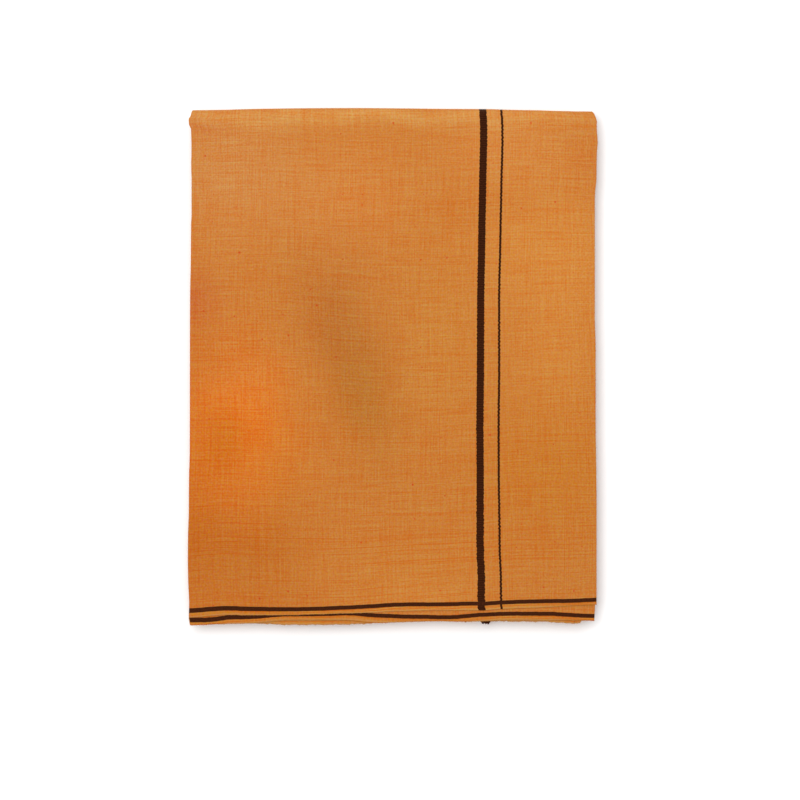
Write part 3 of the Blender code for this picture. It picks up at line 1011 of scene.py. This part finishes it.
def settle(thing):
    """Move a folded section's points to the edges and the thickness that the pressed bundle has."""
    data = thing.data
    x, y, z = read(data.vertices, "co", 3).T.copy()
    loops = read(data.loops, "vertex_index", 1, int)[:, 0]
    cloth = np.empty((len(x), 2))
    cloth[loops] = read(data.uv_layers[UV_NAME].data, "uv", 2)
    along, aside = cloth.T.copy()

    # Layer of each point. Round a side fold, a point belongs partly to the layers on both sides.
    layer = np.clip(np.floor(along / SECTION_WIDTH).astype(int) + 1, 1, SECTIONS)
    bend = math.pi * BEAD_RADIUS
    blend = np.clip(0.5 + (along - SECTION_WIDTH * np.arange(1, SECTIONS)[:, None]) / bend, 0.0, 1.0)
    held = np.diff(blend, axis=0, prepend=1.0, append=0.0) * -1.0
    turn = np.where(y > TOP_AXIS_Y, np.arctan2(y - TOP_AXIS_Y, z - TOP_RADIUS), 0.0)
    turn = np.where((y <= TOP_AXIS_Y) & (z < TOP_RADIUS), math.pi, turn)
    upper = z > TOP_RADIUS
    aloft = upper | (y > TOP_AXIS_Y)

    # Selvedges
    for lower in (False, True):
        run = CLOTH_WIDTH - aside if lower else aside
        near = run < SETTLE_LENGTH
        pull = smooth(1.0 - run[near] / SETTLE_LENGTH)
        short = sum(
            held[number - 1, near] * selvedge_short(x[near], number, lower)
            for number in range(1, SECTIONS + 1))
        y[near] += pull * (short - NOMINAL_SHORT)

    # Stripe beside the front selvedge
    fade = smooth(1.0 - (aside - DRIFT_START) / DRIFT_LENGTH)
    for number, row in enumerate(DRIFTS):
        aside += fade * held[number] * eased(row["x"], row["nearer"], x)

    # Top fold, which bows
    lift = smooth(1.0 - (TOP_AXIS_Y - y) / TOP_ZONE)
    y += lift * eased(TOP_FOLD["x"], TOP_FOLD["past"], x)

    # Sway of the front, under the end stripes
    toward = smooth((x - BETWEEN_STRIPES[0]) / BETWEEN_STRIPES[1])
    wide, thin = (eased(SWAY["y"], SWAY[stripe], y) for stripe in ("wide", "thin"))
    sway = wide * (1.0 - toward) + thin * toward
    loose = smooth((x + HALF_WIDTH) / SWAY_FADE[0]) * smooth((HALF_WIDTH - x) / SWAY_FADE[1])
    sway_share = np.where(aloft, np.where(turn > 0.0, np.cos(turn / 2.0) ** 2, 1.0), 0.0)

    # Sides
    to_back = smooth(turn / math.pi)
    drawn = np.where(aloft, 1.0 - smooth(2.0 * turn / math.pi - 1.0), 0.0)
    hidden = smooth((aside - CLOTH_WIDTH / 2.0 + BACK_BLEND / 2.0) / BACK_BLEND)
    shift = loose * sway * sway_share
    for side, sign in (("left", -1.0), ("right", 1.0)):
        row = SIDES[side]
        weight = smooth((sign * x - (HALF_WIDTH - SIDE_ZONE)) / SIDE_ZONE)
        front = eased(row["y"], row["past"], y)
        past = front + (-BACK_INSETS[side] - front) * np.maximum(to_back, hidden)
        past -= drawn * eased(CORNERS[side]["y"], CORNERS[side]["cut"], y)
        for number in range(1, SECTIONS + 1):
            mine = (layer == number) & (weight > 0.0)
            past[mine] -= side_inset(side, number, aside[mine])
        shift += sign * weight * past
    x += shift

    # Thickness: the upper half follows the front, the lower half follows the floor
    pressed = (front_height(x, y) - TOP_RADIUS) / TOP_RADIUS
    z = np.where(upper & (y <= TOP_AXIS_Y), TOP_RADIUS + (z - TOP_RADIUS) * pressed, z)
    below = ~upper & (y <= TOP_AXIS_Y)
    z += np.where(below, crease_depth(BACK_CREASES, x, y) * (1.0 - z / TOP_RADIUS), 0.0)
    data.vertices.foreach_set("co", np.column_stack((x, y, z)).ravel())
    data.uv_layers[UV_NAME].data.foreach_set("uv", np.column_stack((along, aside))[loops].ravel())
    data.update()


def section_piece(name, first, last, path, step, replaced):
    """Fold and settle one run of sections, and attach it to the body in place of its solid."""
    cut = bpy.context.scene.dhoti_cut
    group = bpy.data.node_groups.get("Fold a section") or fold_tree()
    outline = section_outline(first, last, step)
    profile = polyline(name + "_outline", [(x, depth - MIDDLE_DEPTH, 0.0) for x, depth in outline])
    source = polyline(name + "_path", [(0.0, y, z) for y, z in path])
    before = (first - 1) * SECTION_WIDTH + (SEAM_INSET if first > 1 else 0.0)
    after = last * SECTION_WIDTH + (SEAM_INSET if last < SECTIONS else 0.0)
    use_tree(source, group, {
        "Outline": profile, "Length Before": before, "Length After": after,
        "Cloth Width": CLOTH_WIDTH, "Cloth": cotton_material(),
    })
    piece = plain_mesh(source, name)
    bpy.data.objects.remove(profile)
    settle(piece)
    wall = piece.modifiers.new("Cloth", "SOLIDIFY")
    wall.thickness = cut.cloth_thickness
    wall.offset = 0.0
    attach(piece, BODY)
    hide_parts(replaced)


class DHOTI_OT_outer_section(bpy.types.Operator):
    """Fold the section in view: the front, the top fold, the underside and its hidden end"""

    bl_idname = "dhoti.outer_section"
    bl_label = "Outer section"

    def execute(self, context):
        step = context.scene.dhoti_cut.front_step
        path = fold_path(
            FOOT_ROWS, leg_step=step, turn_steps=16, back_step=2.0 * step, hidden_step=0.015)
        section_piece("outer_section", 1, 1, path, step, "outer_layer")
        return {"FINISHED"}


class DHOTI_OT_under_sections(bpy.types.Operator):
    """Fold the second and third sections, whose selvedges show below the front one"""

    bl_idname = "dhoti.under_sections"
    bl_label = "Under sections"

    def execute(self, context):
        step = context.scene.dhoti_cut.under_step
        path = fold_path(
            FOOT_ROWS[::2] + FOOT_ROWS[-1:], leg_step=step, turn_steps=12, back_step=3.0 * step,
            hidden_step=0.020)
        for number, replaced in ((2, "second_layer"), (3, "third_layer")):
            name = replaced.replace("layer", "section")
            section_piece(name, number, number, path, step / 4.0, replaced)
        return {"FINISHED"}


class DHOTI_OT_inner_sections(bpy.types.Operator):
    """Fold the last five sections, which show only as folds and selvedges at the edges"""

    bl_idname = "dhoti.inner_sections"
    bl_label = "Inner sections"

    def execute(self, context):
        step = context.scene.dhoti_cut.under_step
        path = fold_path(
            FOOT_ROWS[::3] + FOOT_ROWS[-1:], leg_step=1.5 * step, turn_steps=10,
            back_step=3.0 * step, hidden_step=0.020)
        section_piece(
            "inner_sections", 4, SECTIONS, path, step, "inner_layers")
        return {"FINISHED"}


class DHOTI_OT_edge_yarns(bpy.types.Operator):
    """Set the turns of the weft round the selvedges, and the stubs of the warp at the cut ends"""

    bl_idname = "dhoti.edge_yarns"
    bl_label = "Edge yarns"

    def execute(self, context):
        cut = context.scene.dhoti_cut
        group = bpy.data.node_groups.get("Edge yarns") or yarn_tree()
        names = ("outer_section", "second_section", "third_section", "inner_sections")
        for name, edge, used, turns, reach in (
            ("selvedge_turns", EDGE_MARKS[0], names, True, cut.turn_reach),
            ("near_cut_yarns", EDGE_MARKS[1], names[:1], False, cut.stub_reach),
            ("far_cut_yarns", EDGE_MARKS[2], names[3:], False, cut.stub_reach),
        ):
            guides = []
            values = {
                "Edge": edge, "Turns": turns, "Spacing": 2.0 * cut.thread_pitch, "Reach": reach,
                "Yarn Radius": 0.3 * cut.cloth_thickness, "Seed": cut.seed, "Cloth": cotton_material(),
            }
            for number, section in enumerate(used, 1):
                guide = placed(section + "_guide", bpy.data.objects[section].data)
                guides.append(guide)
                values[f"Section {number}"] = guide
            source = placed(name + "_source", bpy.data.meshes.new(name + "_source"))
            use_tree(source, group, values)
            piece = plain_mesh(source, name)
            for guide in guides:
                bpy.data.objects.remove(guide)
            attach(piece, BODY)
            names += (name,)
        for name in names:
            marks = bpy.data.objects[name].data.attributes
            for mark in EDGE_MARKS:
                marks.remove(marks[mark])
        return {"FINISHED"}


class DHOTI_OT_stage(bpy.types.Operator):
    """Lay the pale floor, set the soft light and the camera straight above the cloth"""

    bl_idname = "dhoti.stage"
    bl_label = "Stage"

    def execute(self, context):
        scene = context.scene
        look = scene.dhoti_stage
        data = bpy.data.meshes.new("Floor")
        half = look.floor_size / 2
        corners = ((-half, -half), (half, -half), (half, half), (-half, half))
        data.from_pydata([(x, y, -FLOOR_GAP) for x, y in corners], [], [(0, 1, 2, 3)])
        floor = placed("Floor", data)
        paper = bpy.data.materials.new("pale_floor")
        paper.use_nodes = True
        shader = paper.node_tree.nodes["Principled BSDF"]
        shader.inputs["Base Color"].default_value = (0.93, 0.93, 0.93, 1.0)
        shader.inputs["Roughness"].default_value = 0.9
        shader.inputs["Specular IOR Level"].default_value = 0.1
        data.materials.append(paper)

        world = bpy.data.worlds.new("Studio")
        scene.world = world
        world.use_nodes = True
        background = world.node_tree.nodes["Background"]
        background.inputs["Color"].default_value = (1.0, 1.0, 1.0, 1.0)
        background.inputs["Strength"].default_value = look.fill

        for name, spot, size, power in (
            ("Overhead", (-0.35, 0.25, 1.60), 1.3, look.overhead),
            ("Behind the top fold", (0.10, 1.30, 0.75), 0.9, look.behind),
        ):
            lamp = bpy.data.lights.new(name, "AREA")
            lamp.shape = "DISK"
            lamp.size = size
            lamp.energy = power
            thing = placed(name, lamp)
            thing.location = spot
            thing.rotation_euler = (-Vector(spot)).to_track_quat("-Z", "Y").to_euler()

        lens = bpy.data.cameras.new("Camera")
        camera = placed("Camera", lens)
        metres_per_pixel = 2.0 * HALF_HEIGHT / look.cloth_pixels
        view_width = metres_per_pixel * look.frame_pixels
        lens.sensor_width = 36.0
        lens.lens = lens.sensor_width * look.camera_height / view_width
        middle_x = (look.frame_pixels / 2 - look.cloth_middle[0]) * metres_per_pixel
        middle_y = (look.cloth_middle[1] - look.frame_pixels / 2) * metres_per_pixel
        camera.location = (middle_x, middle_y, THICKNESS + look.camera_height)
        scene.camera = camera
        scene.view_settings.view_transform = "Standard"
        return {"FINISHED"}


class DhotiStage(bpy.types.PropertyGroup):
    """Light, floor and camera."""

    floor_size: FloatProperty(
        name="Floor", description="Side of the square floor", default=6.0, min=1.0, unit="LENGTH")
    fill: FloatProperty(
        name="Fill", description="Strength of the even light from all round", default=0.75, min=0.0)
    overhead: FloatProperty(
        name="Overhead", description="Power of the large soft lamp above",
        default=16.7, min=0.0, unit="POWER")
    behind: FloatProperty(
        name="Behind", description="Power of the lamp past the top fold",
        default=4.95, min=0.0, unit="POWER")
    camera_height: FloatProperty(
        name="Camera height", description="From the cloth to the camera",
        default=1.8, min=0.5, unit="LENGTH")
    frame_pixels: IntProperty(
        name="Frame", description="Side of the square picture, in pixels", default=800)
    cloth_pixels: FloatProperty(
        name="Cloth height", description="Height of the bundle in the picture, in pixels", default=518.0)
    cloth_middle: FloatVectorProperty(
        name="Cloth middle", description="Middle of the bundle in the picture, in pixels",
        size=2, default=(393.0, 367.0))


class DHOTI_PT_panel(bpy.types.Panel):
    """The dhoti's sizes, colours and pieces."""

    bl_idname = "DHOTI_PT_panel"
    bl_label = "Folded dhoti"
    bl_space_type = "VIEW_3D"
    bl_region_type = "UI"
    bl_category = "Dhoti"

    def draw(self, context):
        scene = context.scene
        for group in (scene.dhoti_cut, scene.dhoti_colours, scene.dhoti_stage):
            box = self.layout.box()
            for name in group.bl_rna.properties.keys():
                if name not in ("rna_type", "name"):
                    box.prop(group, name)
        for operator in OPERATORS:
            self.layout.operator(operator.bl_idname)


OPERATORS = (
    DHOTI_OT_outer_section,
    DHOTI_OT_under_sections,
    DHOTI_OT_inner_sections,
    DHOTI_OT_edge_yarns,
    DHOTI_OT_stage,
)
GROUPS = {"dhoti_cut": DhotiCut, "dhoti_colours": DhotiColours, "dhoti_stage": DhotiStage}


def register():
    for name, group in GROUPS.items():
        bpy.utils.register_class(group)
        setattr(bpy.types.Scene, name, PointerProperty(type=group))
    for operator in OPERATORS:
        bpy.utils.register_class(operator)
    bpy.utils.register_class(DHOTI_PT_panel)


def unregister():
    bpy.utils.unregister_class(DHOTI_PT_panel)
    for operator in reversed(OPERATORS):
        bpy.utils.unregister_class(operator)
    for name, group in GROUPS.items():
        delattr(bpy.types.Scene, name)
        bpy.utils.unregister_class(group)


def main():
    register()
    bpy.ops.dhoti.outer_section()
    bpy.ops.dhoti.under_sections()
    bpy.ops.dhoti.inner_sections()
    bpy.ops.dhoti.edge_yarns()
    bpy.ops.dhoti.stage()


if __name__ == "__main__":
    main()
